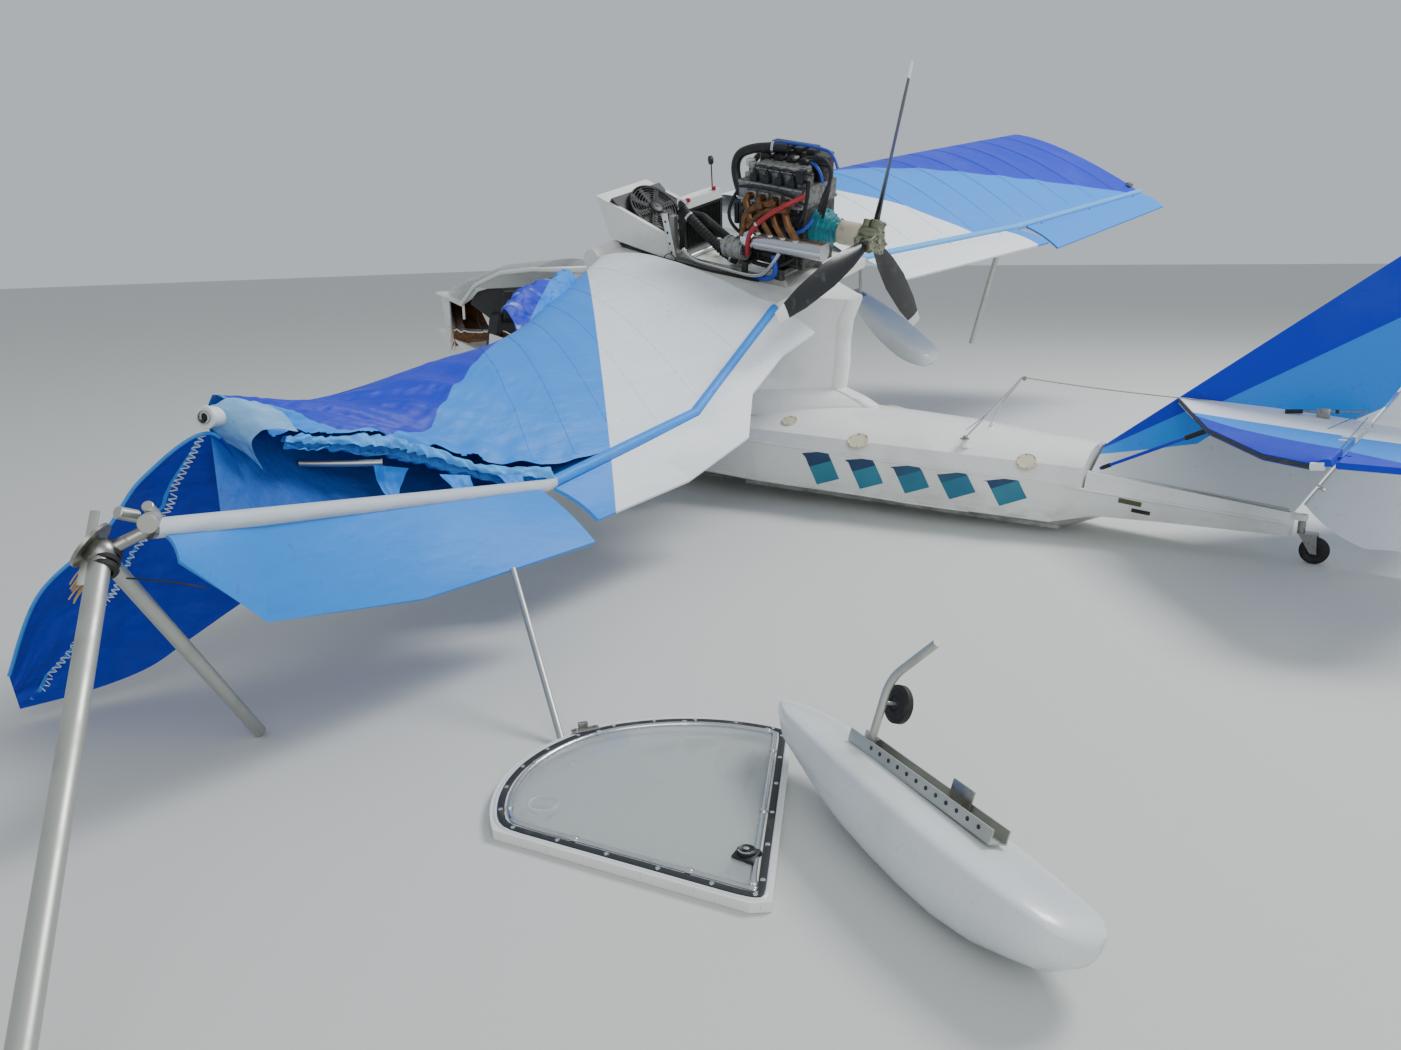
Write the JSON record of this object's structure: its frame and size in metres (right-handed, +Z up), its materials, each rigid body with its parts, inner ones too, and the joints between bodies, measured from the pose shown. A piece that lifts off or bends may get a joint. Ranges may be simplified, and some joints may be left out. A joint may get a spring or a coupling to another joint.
{
  "type": "microlight aircraft",
  "caption": "Wrecked amphibious microlight on its keel: pusher propeller over an open engine, broken port wing, torn nose, and a door and float lying beside it.",
  "frame": {"origin": "on the keel's flat shoe where the hull meets the ground, under the engine", "axes": "+X towards the nose, +Y to port, +Z up"},
  "size_m": [7.2437, 9.6717, 2.3864],
  "materials": {
    "gelcoat": "gloss",
    "deck_gelcoat": "gloss",
    "blue_fabric": "woven",
    "light_blue_fabric": "woven",
    "white_fabric": "woven",
    "spar_tube": "satin",
    "steel": "brushed",
    "engine_alloy": "cast",
    "black_plastic": "matt",
    "exhaust_steel": "heat tinted",
    "gearbox_paint": "semi-gloss",
    "radiator_alloy": "finned",
    "blade_composite": "satin",
    "hose_rubber": "matt",
    "tyre": "matt",
    "pane": "clear",
    "seat_fabric": "woven"
  },
  "bodies": {
    "airframe": {"hull_shell": "gelcoat", "aft_deck_pylon": "deck_gelcoat", "cabin_sides": "gelcoat", "canopy_frame": "gelcoat", "bow_wall": "gelcoat", "cabin_roof": "gelcoat", "windscreen": "pane", "door_hangers": "steel", "instrument_panel": "black_plastic", "seats": "seat_fabric", "wing_centre": "gelcoat", "port_wing_inner": "white_fabric", "port_wing_top_skin": "blue_fabric", "port_wing_bottom_skin": "blue_fabric", "port_wing_tip": "light_blue_fabric", "port_front_spar": "spar_tube", "port_rear_spar": "spar_tube", "port_flap": "white_fabric", "port_aileron": "light_blue_fabric", "port_struts": "spar_tube", "strut_bracket": "steel", "starboard_wing": "blue_fabric", "starboard_rear_spar": "spar_tube", "starboard_strut": "spar_tube", "starboard_float": "gelcoat", "port_float": "gelcoat", "float_channel": "spar_tube", "fin": "blue_fabric", "fin_fairing": "white_fabric", "stabilisers": "white_fabric", "gear_legs": "steel", "deck_mast": "steel", "engine_mount": "spar_tube", "engine_block": "engine_alloy", "cylinder_head": "engine_alloy", "intake_manifold": "black_plastic", "exhaust_manifold": "exhaust_steel", "gearbox": "gearbox_paint", "alternator": "engine_alloy", "radiator_cowl": "gelcoat", "radiator_core": "radiator_alloy", "oil_cooler": "radiator_alloy", "coolant_hose": "hose_rubber", "door_frame": "gelcoat", "door_pane": "pane"},
    "propeller": {"propeller_hub": "engine_alloy", "propeller_blades": "blade_composite"},
    "cooling_fan_rotor": {"cooling_fan": "black_plastic"},
    "port_main_wheel": {"main_wheel_port": "tyre"},
    "starboard_main_wheel": {"main_wheel_starboard": "tyre"},
    "tail_wheel_fork": {"tail_fork": "steel"},
    "tail_wheel_body": {"tail_wheel": "tyre"},
    "rudder_body": {"rudder": "white_fabric"},
    "port_elevator": {"elevator_port": "light_blue_fabric"},
    "starboard_elevator": {"elevator_starboard": "light_blue_fabric"},
    "starboard_aileron_body": {"starboard_aileron": "light_blue_fabric"},
    "starboard_flap_body": {"starboard_flap": "white_fabric"},
    "starboard_door_body": {"starboard_door": "gelcoat", "starboard_pane": "pane"},
    "float_wheel_body": {"float_wheel": "tyre"}
  },
  "joints": [
    {"name": "propeller_spin", "type": "hinge", "parent": "airframe", "child": "propeller", "pos_m": [0.669, 0.1, 1.478], "axis": [0.9816, 0, 0.1908], "continuous": true},
    {"name": "cooling_fan_spin", "type": "hinge", "parent": "airframe", "child": "cooling_fan_rotor", "pos_m": [2.23756, 0.07702, 1.68899], "axis": [-0.7371, 0.1935, 0.6475], "continuous": true},
    {"name": "port_main_wheel_spin", "type": "hinge", "parent": "airframe", "child": "port_main_wheel", "pos_m": [1.6, 0.76, 0.34], "axis": [0, 1, 0], "continuous": true},
    {"name": "starboard_main_wheel_spin", "type": "hinge", "parent": "airframe", "child": "starboard_main_wheel", "pos_m": [1.6, -0.76, 0.34], "axis": [0, 1, 0], "continuous": true},
    {"name": "tail_wheel_swivel", "type": "hinge", "parent": "airframe", "child": "tail_wheel_fork", "pos_m": [-1.532, 0, 0.2], "axis": [0, 0, 1], "range_deg": [-35, 35]},
    {"name": "tail_wheel_spin", "type": "hinge", "parent": "tail_wheel_fork", "child": "tail_wheel_body", "pos_m": [-1.594, 0, 0.062], "axis": [0, 1, 0], "continuous": true},
    {"name": "rudder_hinge", "type": "hinge", "parent": "airframe", "child": "rudder_body", "pos_m": [-1.54113, 0, 0.264], "axis": [-0.4918, 0, 0.8707], "range_deg": [-25, 25]},
    {"name": "port_elevator_hinge", "type": "hinge", "parent": "airframe", "child": "port_elevator", "pos_m": [-1.771, 0.5, 0.656], "axis": [0, 1, 0], "range_deg": [-20, 20]},
    {"name": "starboard_elevator_hinge", "type": "hinge", "parent": "airframe", "child": "starboard_elevator", "pos_m": [-1.771, -0.5, 0.656], "axis": [0, 1, 0], "range_deg": [-20, 20]},
    {"name": "starboard_aileron_hinge", "type": "hinge", "parent": "airframe", "child": "starboard_aileron_body", "pos_m": [0.90504, -2.68, 1.54672], "axis": [-0.1343, -0.9805, 0.1436], "range_deg": [-20, 20]},
    {"name": "starboard_flap_hinge", "type": "hinge", "parent": "airframe", "child": "starboard_flap_body", "pos_m": [1.05808, -0.536, 1.34588], "axis": [-0.0684, -0.9935, 0.091], "range_deg": [0, 30]},
    {"name": "starboard_door_hinge", "type": "hinge", "parent": "airframe", "child": "starboard_door_body", "pos_m": [2.56, -0.40508, 1.28238], "axis": [0.9997, 0.0083, 0.0217], "range_deg": [-60, 0]},
    {"name": "float_wheel_spin", "type": "hinge", "parent": "airframe", "child": "float_wheel_body", "pos_m": [-1.11379, 3.09028, 0.30919], "axis": [-0.4428, -0.8409, -0.3113], "continuous": true}
  ],
  "couplings": [
    {"joint": "starboard_elevator_hinge", "follows": "port_elevator_hinge", "ratio": 1}
  ]
}
